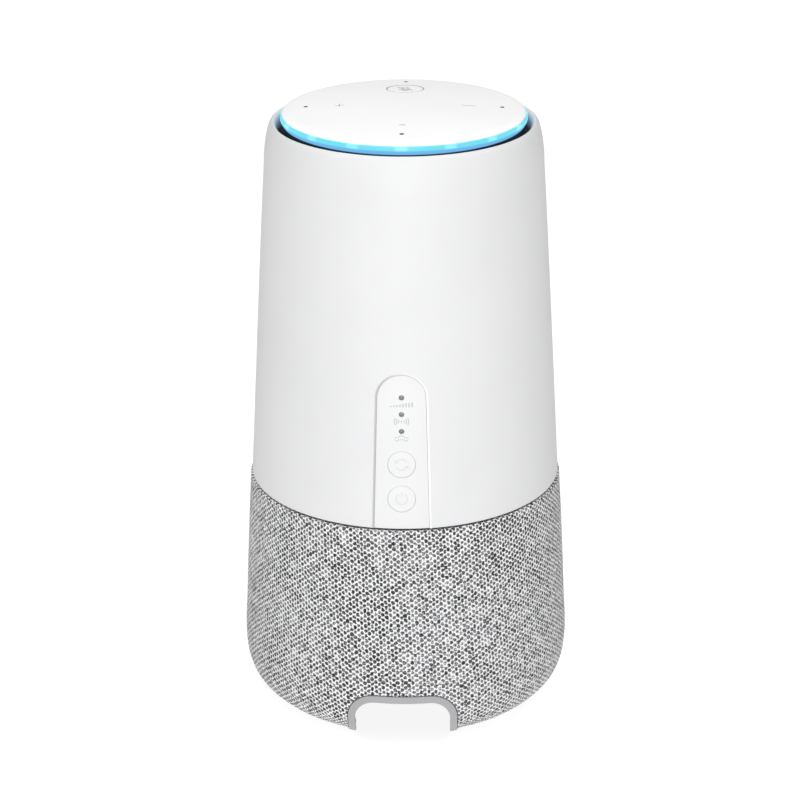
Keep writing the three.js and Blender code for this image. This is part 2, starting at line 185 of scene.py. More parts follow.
def cut(obj, tools, operation="DIFFERENCE", sharp=30):
    """Booleans obj with the tools, and removes them."""
    for tool in tools:
        mod = obj.modifiers.new("cut", "BOOLEAN")
        mod.operation = operation
        mod.solver = "EXACT"
        mod.object = tool
    bpy.context.view_layer.update()
    graph = bpy.context.evaluated_depsgraph_get()
    mesh = bpy.data.meshes.new_from_object(obj.evaluated_get(graph))
    obj.modifiers.clear()
    obj.data = mesh
    for tool in tools:
        bpy.data.objects.remove(tool)
    shade(mesh, sharp)
    return obj


def arc(cx, cy, radius, start, end, steps):
    return [
        (cx + radius * math.cos(a), cy + radius * math.sin(a))
        for a in np.radians(np.linspace(start, end, steps))
    ]


def circle(radius, cx=0.0, cy=0.0, steps=48):
    return arc(cx, cy, radius, 0, 360, steps + 1)[:-1]


def piece(obj, material, body=HOUSING, stands_for=()):
    obj.data.materials.clear()
    obj.data.materials.append(material)
    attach(obj, body)
    if stands_for:
        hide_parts(*stands_for)
    return obj


# ---- node helpers ---------------------------------------------------------
class Shader:
    """A material with a Principled shader, and short ways to add nodes to it."""

    def __init__(self, name, **values):
        self.material = bpy.data.materials.new(name)
        self.material.use_nodes = True
        self.tree = self.material.node_tree
        self.tree.nodes.clear()
        self.out = self.add("OutputMaterial")
        self.main = self.add("BsdfPrincipled")
        self.link(self.main.outputs["BSDF"], self.out.inputs["Surface"])
        for key, value in values.items():
            self.main.inputs[key.replace("_", " ")].default_value = value
        self.coords = self.add("TexCoord").outputs["Object"]

    def add(self, kind, **settings):
        node = self.tree.nodes.new("ShaderNode" + kind)
        for key, value in settings.items():
            setattr(node, key, value)
        return node

    def link(self, source, target):
        self.tree.links.new(source, target)

    def put(self, target, value):
        if isinstance(value, bpy.types.NodeSocket):
            self.link(value, target)
        else:
            target.default_value = value

    def math(self, operation, *values):
        node = self.add("Math", operation=operation)
        for target, value in zip(node.inputs, values):
            self.put(target, value)
        return node.outputs[0]

    def noise(self, scale, detail=2.0, roughness=0.5, vector=None):
        node = self.add("TexNoise")
        node.inputs["Scale"].default_value = scale
        node.inputs["Detail"].default_value = detail
        node.inputs["Roughness"].default_value = roughness
        self.link(vector or self.coords, node.inputs["Vector"])
        return node.outputs["Fac"]

    def ramp(self, value, stops):
        node = self.add("ValToRGB")
        elements = node.color_ramp.elements
        for element, (position, color) in zip(elements, stops):
            element.position = position
            element.color = (*color, 1)
        for position, color in stops[2:]:
            elements.new(position).color = (*color, 1)
        self.link(value, node.inputs["Fac"])
        return node.outputs["Color"]

    def span(self, value, low, high, to_low=0.0, to_high=1.0, smooth=False):
        node = self.add("MapRange", interpolation_type="SMOOTHSTEP" if smooth else "LINEAR")
        self.link(value, node.inputs["Value"])
        for key, number in (("From Min", low), ("From Max", high), ("To Min", to_low), ("To Max", to_high)):
            self.put(node.inputs[key], number)
        return node.outputs["Result"]

    def mix(self, factor, a, b):
        node = self.add("Mix", data_type="RGBA")
        self.put(node.inputs["Factor"], factor)
        for key, value in ((6, a), (7, b)):
            self.put(node.inputs[key], value if isinstance(value, bpy.types.NodeSocket) else (*value, 1))
        return node.outputs[2]

    def bump(self, height, distance, strength=1.0, normal=None):
        node = self.add("Bump")
        node.inputs["Strength"].default_value = strength
        node.inputs["Distance"].default_value = distance
        self.link(height, node.inputs["Height"])
        if normal:
            self.link(normal, node.inputs["Normal"])
        return node.outputs["Normal"]

    def bevel(self, radius):
        node = self.add("Bevel", samples=6)
        node.inputs["Radius"].default_value = radius
        return node.outputs["Normal"]


def moulded(name, color, rough=0.42, grain=2600, depth=0.000012, tone_and_painted_light=0.02, edge=0.00018):
    """Moulded plastic: fine spark-eroded grain, slight colour drift, and rounded edges."""
    s = Shader(name, Roughness=rough)
    dark = tuple(c * (1 - tone_and_painted_light) for c in color)
    light = tuple(min(1, c * (1 + tone_and_painted_light * 0.6)) for c in color)
    drift = s.noise(38, 3)
    s.link(s.mix(s.span(drift, 0.3, 0.7), dark, light), s.main.inputs["Base Color"])
    fine = s.noise(grain, 4, 0.6)
    s.link(s.span(fine, 0.3, 0.7, rough - 0.05, rough + 0.06), s.main.inputs["Roughness"])
    s.link(s.bump(fine, depth, 0.6, s.bevel(edge)), s.main.inputs["Normal"])
    return s.material


def metal(name, color, rough=0.35, stretch=(60, 60, 2600)):
    """Brushed or plated metal with fine lines and small stains."""
    s = Shader(name, Metallic=1.0)
    mapping = s.add("Mapping")
    mapping.inputs["Scale"].default_value = stretch
    s.link(s.coords, mapping.inputs["Vector"])
    lines = s.noise(1.0, 3, 0.6, mapping.outputs["Vector"])
    stain = s.noise(160, 3)
    dark = tuple(c * 0.82 for c in color)
    s.link(s.mix(s.span(stain, 0.35, 0.7), dark, color), s.main.inputs["Base Color"])
    s.link(s.span(lines, 0.3, 0.7, rough - 0.08, rough + 0.1), s.main.inputs["Roughness"])
    s.link(s.bump(lines, 0.00002, 0.5, s.bevel(0.0001)), s.main.inputs["Normal"])
    return s.material


def board_material(name):
    """Solder mask over copper tracks, with small pads."""
    s = Shader(name, Roughness=0.45)
    brick = s.add("TexBrick")
    brick.inputs["Scale"].default_value = 420
    brick.inputs["Mortar Size"].default_value = 0.03
    s.link(s.coords, brick.inputs["Vector"])
    tracks = s.mix(brick.outputs["Fac"], (0.010, 0.075, 0.032), (0.018, 0.14, 0.055))
    voronoi = s.add("TexVoronoi")
    voronoi.inputs["Scale"].default_value = 520
    s.link(s.coords, voronoi.inputs["Vector"])
    pads = s.math("LESS_THAN", voronoi.outputs["Distance"], 0.16)
    s.link(s.mix(pads, tracks, (0.55, 0.5, 0.42)), s.main.inputs["Base Color"])
    s.link(s.bump(pads, 0.00004, 0.6, s.bevel(0.0001)), s.main.inputs["Normal"])
    return s.material


def fabric_material():
    """Open knitted mesh: light yarns round staggered holes; the holes are painted dark, partly for the dark
    frame behind and partly as painted shade in the cavity.
    The map counts column pairs across and rows up."""
    s = Shader("knit_mesh", Roughness=0.92)
    uv = s.add("UVMap", uv_map="knit")
    split = s.add("SeparateXYZ")
    s.link(uv.outputs["UV"], split.inputs[0])
    lean = s.add("CombineXYZ")
    slant = s.math("MULTIPLY", split.outputs["Y"], KNIT_LEAN)
    s.link(s.math("ADD", split.outputs["X"], slant), lean.inputs[0])
    s.link(split.outputs["Y"], lean.inputs[1])
    warped = lean.outputs[0]
    for scale, amount in ((0.7, 0.34), (2.6, 0.34)):
        sway = s.add("TexNoise")
        sway.inputs["Scale"].default_value = scale
        sway.inputs["Detail"].default_value = 2.0
        s.link(warped, sway.inputs["Vector"])
        shift = s.add("VectorMath", operation="MULTIPLY_ADD")
        s.link(sway.outputs["Color"], shift.inputs[0])
        shift.inputs[1].default_value = (amount, amount, 0)
        s.link(warped, shift.inputs[2])
        warped = shift.outputs[0]
    split = s.add("SeparateXYZ")
    s.link(warped, split.inputs[0])

    def lattice(offset, seed):
        across = s.math("ADD", split.outputs["X"], offset)
        up = s.math("ADD", split.outputs["Y"], offset)
        du = s.math("MULTIPLY", s.math("SUBTRACT", s.math("FRACT", across), 0.5),
                    COLUMN_PAIR_WIDTH / HOLE_HALF_WIDTH)
        dv = s.math("MULTIPLY", s.math("SUBTRACT", s.math("FRACT", up), 0.5), ROW_PITCH / HOLE_HALF_HEIGHT)
        distance = s.math("SQRT", s.math("ADD", s.math("MULTIPLY", du, du), s.math("MULTIPLY", dv, dv)))
        cell = s.add("CombineXYZ")
        s.link(s.math("FLOOR", across), cell.inputs[0])
        s.link(s.math("FLOOR", up), cell.inputs[1])
        cell.inputs[2].default_value = seed
        random = s.add("TexWhiteNoise", noise_dimensions="3D")
        s.link(cell.outputs[0], random.inputs["Vector"])
        return distance, random.outputs["Value"]

    near_a, random_a = lattice(0.0, 1.0)
    near_b, random_b = lattice(0.5, 7.0)
    near = s.math("MINIMUM", near_a, near_b)
    first = s.math("LESS_THAN", near_a, near_b)
    random = s.math("ADD", s.math("MULTIPLY", first, random_a),
                    s.math("MULTIPLY", s.math("SUBTRACT", 1.0, first), random_b))
    patch = s.noise(24, 3, 0.6)
    size = s.span(random, 0.0, 1.0, 1.08, 0.92)
    speck = s.noise(1500, 1, 0.5)
    ragged = s.math("ADD", s.math("DIVIDE", near, size), s.span(speck, 0.3, 0.7, -0.15, 0.15))
    hole = s.span(ragged, 0.72, 0.93, 1.0, 0.0, smooth=True)
    # painted shade: each hole's darkness, from near black to grey, is random per hole, as if seen into at
    # different depths
    depth = s.math("ADD", s.math("MULTIPLY", random, 0.3), s.math("MULTIPLY", s.span(speck, 0.3, 0.7), 0.52))
    depth = s.math("ADD", depth, s.math("MULTIPLY", s.span(patch, 0.35, 0.65), 0.18))
    hole_frame_and_shade = s.ramp(depth, [(0.0, (0.004, 0.004, 0.005)), (1.0, (0.62, 0.62, 0.63)),
                          (0.38, (0.045, 0.045, 0.047)), (0.68, (0.23, 0.23, 0.24))])
    fibre = s.noise(5200, 3, 0.7)
    yarn = s.mix(s.span(fibre, 0.3, 0.7), (0.74, 0.74, 0.75), (0.93, 0.93, 0.935))
    yarn = s.mix(s.math("MULTIPLY", s.span(patch, 0.4, 0.6), 0.1), yarn, (0.62, 0.62, 0.63))
    s.link(s.mix(hole, yarn, hole_frame_and_shade), s.main.inputs["Base Color"])
    height = s.math("ADD", s.math("SUBTRACT", 1.0, hole), s.math("MULTIPLY", fibre, 0.25))
    s.link(s.bump(height, 0.00028, 0.8), s.main.inputs["Normal"])
    s.main.inputs["Sheen Weight"].default_value = 0.15
    s.main.inputs["Sheen Roughness"].default_value = 0.5
    s.main.inputs["Specular IOR Level"].default_value = 0.25
    return s.material


def glow_and_reflection_material():
    """Diffusing light guide: cyan glow above with a brighter spot at each diode, and below it a bluer band that
    is a painted reflection of the ring's light.
    """
    s = Shader("light_guide", Roughness=0.35)
    split = s.add("SeparateXYZ")
    s.link(s.coords, split.inputs[0])
    angle = s.math("ARCTAN2", split.outputs["X"], split.outputs["Y"])
    wave = s.math("COSINE", s.math("MULTIPLY", angle, float(RING_DIODES)))
    spot = s.span(wave, 0.45, 1.0, 0.0, 1.0, smooth=True)
    upper = s.span(split.outputs["Z"], *RING_SPLIT, 0.0, 1.0, smooth=True)
    drift = s.noise(90, 2)
    cyan = s.mix(s.math("MULTIPLY", spot, 0.62), (0.14, 0.73, 0.86), (0.40, 1.0, 1.0))
    # painted reflection: the lower band glows blue for the ring's light thrown on the part below it
    painted_reflection_blue = s.mix(s.math("MULTIPLY", drift, 0.3), (0.15, 0.47, 0.86), (0.26, 0.60, 0.94))
    glow_and_reflection = s.mix(upper, painted_reflection_blue, cyan)
    s.link(glow_and_reflection, s.main.inputs["Emission Color"])
    s.main.inputs["Emission Strength"].default_value = 0.92
    s.main.inputs["Base Color"].default_value = (0.02, 0.06, 0.08, 1)
    s.link(s.bump(drift, 0.00002, 0.3), s.main.inputs["Normal"])
    return s.material


def printed(name, color, rough=0.5):
    """Thin print: slightly uneven ink."""
    s = Shader(name, Roughness=rough)
    ink = s.noise(2400, 2)
    dark = tuple(c * 0.9 for c in color)
    s.link(s.mix(ink, dark, color), s.main.inputs["Base Color"])
    s.link(s.bump(ink, 0.00001, 0.4), s.main.inputs["Normal"])
    return s.material


def rim_painted_light_material():
    """The panel's rim: moulded white, with painted shade in grey on the left that fades out to a painted
    highlight in white on the right.
    """
    s = Shader("panel_rim_painted_light", Roughness=0.36)
    split = s.add("SeparateXYZ")
    s.link(s.coords, split.inputs[0])
    # painted shade and highlight: the rim is grey on its left and white on its right, along the object's X
    tone_and_painted_light = s.ramp(s.span(split.outputs["X"], -0.0085, 0.0085),
                  [(0.0, (0.47, 0.47, 0.48)), (1.0, (0.88, 0.88, 0.88)), (0.15, (0.50, 0.50, 0.51)),
                   (0.45, (0.66, 0.66, 0.665)), (0.75, (0.84, 0.84, 0.84))])
    grain = s.noise(2600, 3)
    s.link(s.mix(s.math("MULTIPLY", grain, 0.06), tone_and_painted_light, (0.4, 0.4, 0.4)), s.main.inputs["Base Color"])
    s.link(s.bump(grain, 0.00001, 0.5), s.main.inputs["Normal"])
    return s.material


WHITE = moulded("moulded_white", (0.66, 0.662, 0.669), 0.55)
RIM_PAINTED_LIGHT = rim_painted_light_material()
CAP = moulded("cap_white", (0.935, 0.935, 0.94), 0.5, grain=3400)
PANEL = moulded("panel_white", (0.672, 0.674, 0.68), 0.40)
KEY = moulded("key_white", (0.678, 0.68, 0.686), 0.42)
GREY = moulded("trim_grey", (0.335, 0.335, 0.345), 0.5, edge=0.00025)
BASE = moulded("base_white", (0.74, 0.74, 0.75), 0.5)
DARK = moulded("dark_plastic", (0.03, 0.03, 0.034), 0.55, tone_and_painted_light=0.2)
# The near-black gauze, almost without reflection, stands for the microphone gauze and paints the shade down in
# each hole.
GAUZE_HOLE_SHADE = moulded("microphone_gauze_hole_shade", (0.008, 0.008, 0.009), 0.95)
GAUZE_HOLE_SHADE.node_tree.nodes["Principled BSDF"].inputs["Specular IOR Level"].default_value = 0.05
RUBBER = moulded("foot_rubber", (0.17, 0.17, 0.175), 0.85, grain=1500, depth=0.00003, tone_and_painted_light=0.12)
LENS = moulded("smoke_lens", (0.17, 0.17, 0.18), 0.25, tone_and_painted_light=0.1)
KNIT = fabric_material()
GLOW_AND_REFLECTION = glow_and_reflection_material()
PRINT = printed("grey_print", (0.36, 0.365, 0.38))
FAINT_PRINT = printed("faint_print", (0.62, 0.625, 0.64))
SIGN_PRINT = printed("sign_print", (0.49, 0.495, 0.505))
STEEL = metal("plated_steel", (0.56, 0.57, 0.58))
ALUMINIUM = metal("blasted_aluminium", (0.66, 0.67, 0.68), 0.45, (900, 900, 900))
GOLD = metal("gold_plating", (0.83, 0.62, 0.28), 0.3)
FERRITE = moulded("sintered_ferrite", (0.045, 0.045, 0.05), 0.7, grain=900, depth=0.00004, tone_and_painted_light=0.25)
PAPER = moulded("pressed_pulp", (0.028, 0.029, 0.032), 0.85, grain=700, depth=0.00006, tone_and_painted_light=0.3)
BOARD = board_material("circuit_board")
LED_LENS = moulded("led_lens", (0.85, 0.82, 0.66), 0.25)

BY_SLOT = {
    "white_shell": BASE, "cap_white": CAP, "panel_white": PANEL, "key_white": KEY, "trim_grey": GREY,
    "knit_fabric": KNIT, "smoke_lens": LENS, "light_guide": GLOW_AND_REFLECTION, "dark_plastic": DARK,
    "foot_rubber": RUBBER, "circuit_board": BOARD, "steel": STEEL, "aluminium": ALUMINIUM,
    "ferrite": FERRITE, "cone_paper": PAPER, "antenna_metal": GOLD, "led_lens": LED_LENS,
}
for part in frame["record"]["subparts"]:
    node = frame["nodes"].get(part["node"])
    if node is not None:
        node.data.materials.clear()
        node.data.materials.append(BY_SLOT[part["material_slot"]])

# ---- fabric sleeve --------------------------------------------------------
def arch_outline(half, top, corner):
    return (
        [(-half, -3), (half, -3)]
        + arc(half - corner, top - corner, corner, 0, 90, 16)
        + arc(corner - half, top - corner, corner, 90, 180, 16)
    )


def arch_prism(name, grow, frame_in=0.0):
    """The arch as a prism along Y at the front of the base."""
    corner = 8.6 if not frame_in else 6.4
    outline = arch_outline(ARCH_HALF + grow - frame_in, ARCH_TOP + grow - frame_in, corner)
    place = Matrix(((1, 0, 0, 0), (0, 0, -1, 0), (0, 1, 0, 0), (0, 0, 0, 1)))
    return prism(name, outline, ARCH_FROM, ARCH_TO, place)


def sleeve():
    side = smooth_path(SLEEVE_OUTER, 0.9)
    hem = [(40.5, 1.0), (43.2, 0.65)]
    fold = [(49.36, 72.5), (49.2, 72.8), (48.8, 72.93), (47.6, 72.9)]
    path = np.array([*hem, *side, *fold])
    rows = np.concatenate([[0], np.cumsum(np.linalg.norm(np.diff(path, axis=0), axis=1))]) / ROW_PITCH
    around = 432
    n = len(path)
    verts = []
    for i in range(around):
        a = 2 * math.pi * i / around
        verts += [(r * math.sin(a), -r * math.cos(a), z) for r, z in path]
    faces, maps = [], []
    for i in range(around):
        base, after = i * n, ((i + 1) % around) * n
        u0, u1 = (COLUMN_PAIRS * k / around for k in (i, i + 1))
        for j in range(n - 1):
            faces.append((base + j, after + j, after + j + 1, base + j + 1))
            maps += [(u0, rows[j]), (u1, rows[j]), (u1, rows[j + 1]), (u0, rows[j + 1])]
    mesh = bpy.data.meshes.new("fabric_cover")
    mesh.from_pydata([tuple(np.array(v) * MM) for v in verts], [], faces)
    layer = mesh.uv_layers.new(name="knit")
    layer.data.foreach_set("uv", np.array(maps, np.float32).ravel())
    obj = bpy.data.objects.new("fabric_cover", mesh)
    bpy.context.scene.collection.objects.link(obj)
    cut(obj, [arch_prism("cutter", 0.18)], sharp=60)
    return obj


cover = piece(sleeve(), KNIT, stands_for=("fabric_sleeve",))

# ---- cable arch trim, foot, seam -------------------------------------------
trim_side = smooth_path([(44.9, 0.3), *SLEEVE_OUTER[1:8]], 0.9)


def arch_band(name, from_out, to_out, grow, thick, sharp=35):
    """A band along the arch's edge that follows the curved wall of the base."""
    outside_wall = [(r - from_out, z) for r, z in trim_side]
    inside_wall = [(r - to_out, z) for r, z in reversed(trim_side)]
    band = lathe(name, outside_wall + inside_wall)
    tool = cut(arch_prism("outer_arch", grow), [arch_prism("inner_arch", grow, thick)])
    return cut(band, [tool], "INTERSECT", sharp)


trim = arch_band("cable_arch_frame", -0.35, 1.3, 0, ARCH_FRAME)
piece(trim, GREY, stands_for=("cable_arch_trim",))
piece(arch_band("cable_arch_gasket", 0.5, 5.2, 0.62, ARCH_FRAME + 0.35), DARK)

foot_profile = rounded([(37.6, 0.0), (43.7, 0.0), (44.1, 1.5), (37.6, 1.5)], {0: 0.3, 1: 0.5})
foot = lathe("rubber_foot", foot_profile)
slot_cut = prism("cutter", [(-17.5, -60), (17.5, -60), (17.5, -20), (-17.5, -20)], -1, 3)
piece(cut(foot, [slot_cut]), RUBBER, stands_for=("foot_ring",))

seam = lathe("seam_gasket", rounded([(45.4, 72.95), (48.2, 72.95), (48.2, 73.45), (45.4, 73.45)], {1: 0.1}))
piece(seam, DARK, stands_for=("seam_ring",))

# ---- shell and front panel -------------------------------------------------
PANEL_PLACE = Matrix((
    (1, 0, 0, PANEL_ORIGIN.x),
    (0, math.sin(SLOPE), -math.cos(SLOPE), PANEL_ORIGIN.y),
    (0, math.cos(SLOPE), math.sin(SLOPE), PANEL_ORIGIN.z),
    (0, 0, 0, 1),
))


def panel_outline(grow):
    high = PANEL_HIGH_HALF + grow
    low = PANEL_LOW_HALF + grow
    return [(-low, PANEL_FOOT), (low, PANEL_FOOT)] + arc(0, PANEL_TOP - PANEL_HIGH_HALF, high, 0, 180, 40)


def on_panel(obj, sink=0.0):
    """Bends a flat piece, drawn in the panel's X and Y, round the front wall and puts it in place."""
    for v in obj.data.vertices:
        x, y, z = v.co / MM
        z -= x * x / (2 * (SHELL_FOOT - y * math.sin(SLOPE))) + sink
        v.co = (PANEL_PLACE @ Vector((x, y, z))) * MM
    return obj


def recess_tool():
    """The tool that cuts the panel's seat, with a chamfer along its edge."""
    levels = [(-PANEL_STEP - 1.05, 0.06), (-PANEL_STEP, 0.06), (0.03, 0.66), (3.0, 0.78)]
    outlines = [panel_outline(grow) for _, grow in levels]
    n = len(outlines[0])
    verts = [(x, y, z) for (z, _), outline in zip(levels, outlines) for x, y in outline]
    faces = [tuple(range(n))[::-1], tuple(range(n * (len(levels) - 1), n * len(levels)))]
    for level in range(len(levels) - 1):
        base = level * n
        faces += [(base + i, base + (i + 1) % n, base + n + (i + 1) % n, base + n + i) for i in range(n)]
    tool = to_object("recess", verts, faces)
    bm = bmesh.new()
    bm.from_mesh(tool.data)
    bmesh.ops.triangulate(bm, faces=[f for f in bm.faces if len(f.verts) > 4])
    bm.to_mesh(tool.data)
    bm.free()
    return on_panel(tool)


def panel_bores():
    bores = [(up, KEY_RADIUS + KEY_GAP) for up in KEYS.values()]
    bores += [(up, WINDOW_BORE) for up in LIGHTS.values()]
    return [prism("bore", circle(radius, 0, up), -7, 3, PANEL_PLACE) for up, radius in bores]


def liner():
    """The thin rim between the shell and the sunken panel, along its sides and round top."""
    path_count = 44
    section = [(0.07, -0.37), (0.10, -0.31), (0.38, -0.13), (0.66, 0.04), (0.70, -0.06), (0.38, -0.30)]
    n = len(section)
    verts = []
    for i in range(path_count):
        for grow, z in section:
            corner = PANEL_TOP - PANEL_HIGH_HALF
            rise = (LINER_FOOT - PANEL_FOOT) / (corner - PANEL_FOOT)
            foot = PANEL_LOW_HALF + (PANEL_HIGH_HALF - PANEL_LOW_HALF) * rise
            if i in (0, path_count - 1):
                verts.append(((foot + grow) * (1 if i == 0 else -1), LINER_FOOT, z))
                continue
            a = math.pi * (i - 1) / (path_count - 3)
            radius = PANEL_HIGH_HALF + grow
            verts.append((radius * math.cos(a), corner + radius * math.sin(a), z))
    faces = [tuple(range(n)), tuple(range((path_count - 1) * n, path_count * n))]
    for i in range(path_count - 1):
        base, after = i * n, (i + 1) * n
        faces += [(base + k, base + (k + 1) % n, after + (k + 1) % n, after + k) for k in range(n)]
    return on_panel(to_object("panel_liner", verts, faces, 60))


side = smooth_path(SHELL_SIDE, 1.2)
outside = [(48.6, 73.5), (48.8, 73.6), *side]
lip = smooth_path([(39.5, 187.6), (39.1, 187.15), (38.75, 186.3), (38.5, 185.0), (38.4, 183.6)], 0.2)
inside = [(39.9, 182.4), (40.9, 167.0), (43.7, 121.5), (46.2, 73.5)]
shell = lathe("upper_shell", [*outside, *lip[1:], *inside])


def panel_layer(name, from_out, to_out):
    wall = [(48.86, 73.55), *[(r, z) for r, z in side if z < 133]]
    return lathe(name, [(r - from_out, z) for r, z in wall] + [(r - to_out, z) for r, z in reversed(wall)])


cut(shell, [recess_tool(), *panel_bores()])
piece(shell, WHITE, stands_for=("shell",))

panel = cut(panel_layer("status_panel", PANEL_STEP, PANEL_STEP + 1.0),
            [prism("cutter", panel_outline(0.0), -9, 4, PANEL_PLACE)], "INTERSECT")
cut(panel, panel_bores())
piece(panel, PANEL, stands_for=("front_panel",))
# the rim carries painted shade on its left and a painted highlight on its right
piece(liner(), RIM_PAINTED_LIGHT)


def button(name, up):
    face = -0.36
    profile = [(0, -5.7), (1.5, -5.7), (1.5, -4.3), (5.2, -4.3), (5.2, -3.6), (KEY_RADIUS, -3.6),
               (KEY_RADIUS, face), (0, face)]
    obj = lathe(name, rounded(profile, {6: 0.22}), 96)
    for v in obj.data.vertices:
        v.co.y = v.co.y + up * MM
    return on_panel(obj)


def stroke(name, points, width, height=0.03, closed=False):
    """A flat line of even width through the points, as a thin raised print."""
    p = np.array(points, float)
    n = len(p)
    left, right = [], []
    for i in range(n):
        a, b = (p[i - 1], p[(i + 1) % n]) if closed else (p[max(i - 1, 0)], p[min(i + 1, n - 1)])
        d = (b - a) / np.linalg.norm(b - a)
        normal = np.array([-d[1], d[0]]) * width / 2
        left.append(p[i] + normal)
        right.append(p[i] - normal)
    verts = [(*q, z) for z in (0, height) for side_points in (left, right) for q in side_points]
    faces = []
    for i in range(n if closed else n - 1):
        k = (i + 1) % n
        l0, l1, r0, r1 = i, k, n + i, n + k
        faces += [(l0, r0, r1, l1), (2 * n + l0, 2 * n + l1, 2 * n + r1, 2 * n + r0),
                  (l0, l1, 2 * n + l1, 2 * n + l0), (r0, 2 * n + r0, 2 * n + r1, r1)]
    if not closed:
        for i in (0, n - 1):
            faces.append((i, n + i, 3 * n + i, 2 * n + i))
    return to_object(name, verts, faces)


def joined(name, objs):
    """Several meshes as one object."""
    bm = bmesh.new()
    for obj in objs:
        bm.from_mesh(obj.data)
        bpy.data.objects.remove(obj)
    mesh = bpy.data.meshes.new(name)
    bm.to_mesh(mesh)
    bm.free()
    obj = bpy.data.objects.new(name, mesh)
    bpy.context.scene.collection.objects.link(obj)
    shade(mesh, 30)
    return obj


def line(x0, y0, x1, y1, steps=6):
    t = np.linspace(0, 1, steps)[:, None]
    return np.array([[x0, y0]]) * (1 - t) + np.array([[x1, y1]]) * t


def place_signs(name, strokes, up, out, material, body):
    sign = joined(name, strokes)
    for v in sign.data.vertices:
        v.co.y += up * MM
    on_panel(sign, sink=-out)
    return piece(sign, material, body)


for name, up in KEYS.items():
    piece(button(f"{name}_key", up), KEY, f"{name}_key", (f"{name}_button",))
power_sign = [
    stroke("s", arc(0, 0, 1.75, 118, 422, 40), 0.28),
    stroke("s", line(0, 0.5, 0, 2.15), 0.28),
]
place_signs("power_sign", power_sign, KEYS["power"], -PANEL_STEP, FAINT_PRINT, "power_key")
pairing_sign = []
for turn in (0, 180):
    bow = arc(0, 0, 1.75, 25 + turn, 165 + turn, 24)
    tip = np.array(bow[-1])
    back = np.radians(165 + turn - 90)
    pairing_sign.append(stroke("s", bow, 0.28))
    for spread in (-0.75, 0.75):
        end = tip + 0.95 * np.array([math.cos(back + spread), math.sin(back + spread)])
        pairing_sign.append(stroke("s", line(*tip, *end), 0.26))
place_signs("pairing_sign", pairing_sign, KEYS["pairing"], -PANEL_STEP, FAINT_PRINT, "pairing_key")

for name, up in LIGHTS.items():
    profile = [(0, -7.9), (1.5, -7.9), (1.5, -3.4), (0.76, -3.4), (0.76, -0.42), (0, -0.3)]
    pipe = lathe(f"{name}_window", rounded(profile, {4: 0.12}), 32)
    for v in pipe.data.vertices:
        v.co.y += up * MM
    piece(on_panel(pipe), LENS, stands_for=(f"{name}_light_pipe",))

bars = [stroke("s", line(-3.15 + 0.9 * i, 0, -3.15 + 0.9 * i, 0.4 + 0.16 * i, 3), 0.46) for i in range(8)]
place_signs("signal_sign", bars, LIGHTS["signal"] - SIGN_DROP, -PANEL_STEP, SIGN_PRINT, HOUSING)
waves = [stroke("s", arc(0, 0.75, 0.14, 0, 360, 12)[:-1], 0.28, closed=True)]
for turn in (0, 180):
    waves += [stroke("s", arc(0, 0.75, r, turn - 32, turn + 32, 12), 0.3) for r in (0.85, 1.5, 2.15)]
place_signs("wireless_sign", waves, LIGHTS["wifi"] - SIGN_DROP, -PANEL_STEP, SIGN_PRINT, HOUSING)
plug = [stroke("s", [(-1.9, 0), (1.9, 0), (1.9, 1.05), (0.8, 1.05), (0.8, 1.5), (-0.8, 1.5), (-0.8, 1.05),
                     (-1.9, 1.05)], 0.26, closed=True)]
plug += [stroke("s", line(x, 0.15, x, 0.65, 3), 0.24) for x in (-0.9, -0.3, 0.3, 0.9)]
place_signs("wired_sign", plug, LIGHTS["lan"] - SIGN_DROP, -PANEL_STEP, SIGN_PRINT, HOUSING)

# ---- top cap, light ring, mute key -----------------------------------------
def dome(r):
    return CAP_TOP - r * r / (2 * CAP_SPHERE)


edge_points = [(34.9, dome(34.9)), (35.9, dome(35.9) - 0.12), (36.75, 190.45), (37.05, 190.05), (36.9, 189.8)]
edge = smooth_path(edge_points, 0.15)
cap_profile = [(0, 190.6), (33.6, 188.9), (33.6, 187.2), (34.1, 187.2), (34.1, 189.8), *edge[::-1]]
cap_profile += [(r, dome(r)) for r in np.arange(34, 0, -1.0)] + [(0, CAP_TOP)]
cap = lathe("touch_cap", cap_profile, sharp=40)
MIC_ANGLES = (0, math.pi / 2, math.pi, 3 * math.pi / 2)
MICS = [(MIC_RADIUS * math.cos(a), MIC_RADIUS * math.sin(a)) for a in MIC_ANGLES]
mics = [prism("mic", circle(MIC_HOLE, x, y, 24), 186, 195) for x, y in MICS]
cut(cap, [*mics, prism("bore", circle(MUTE_BORE, 0, MUTE_Y, 96), 186, 196)], sharp=40)
piece(cap, CAP, stands_for=("top_cap",))
mic_face = dome(MIC_RADIUS)
# the dark discs sit just under the cap's face as painted shade for the mic holes
gauze_hole_shade = [prism("gauze_hole_shade", circle(MIC_GAUZE, x, y, 24), mic_face - 0.9, mic_face - 0.03) for x, y in MICS]
piece(joined("microphone_gauze_hole_shade", gauze_hole_shade), GAUZE_HOLE_SHADE)


def on_dome(obj, x0, y0, lift):
    for v in obj.data.vertices:
        x, y, z = v.co / MM
        x, y = x + x0, y + y0
        v.co = Vector((x, y, dome(math.hypot(x, y)) + lift + z)) * MM
    return obj


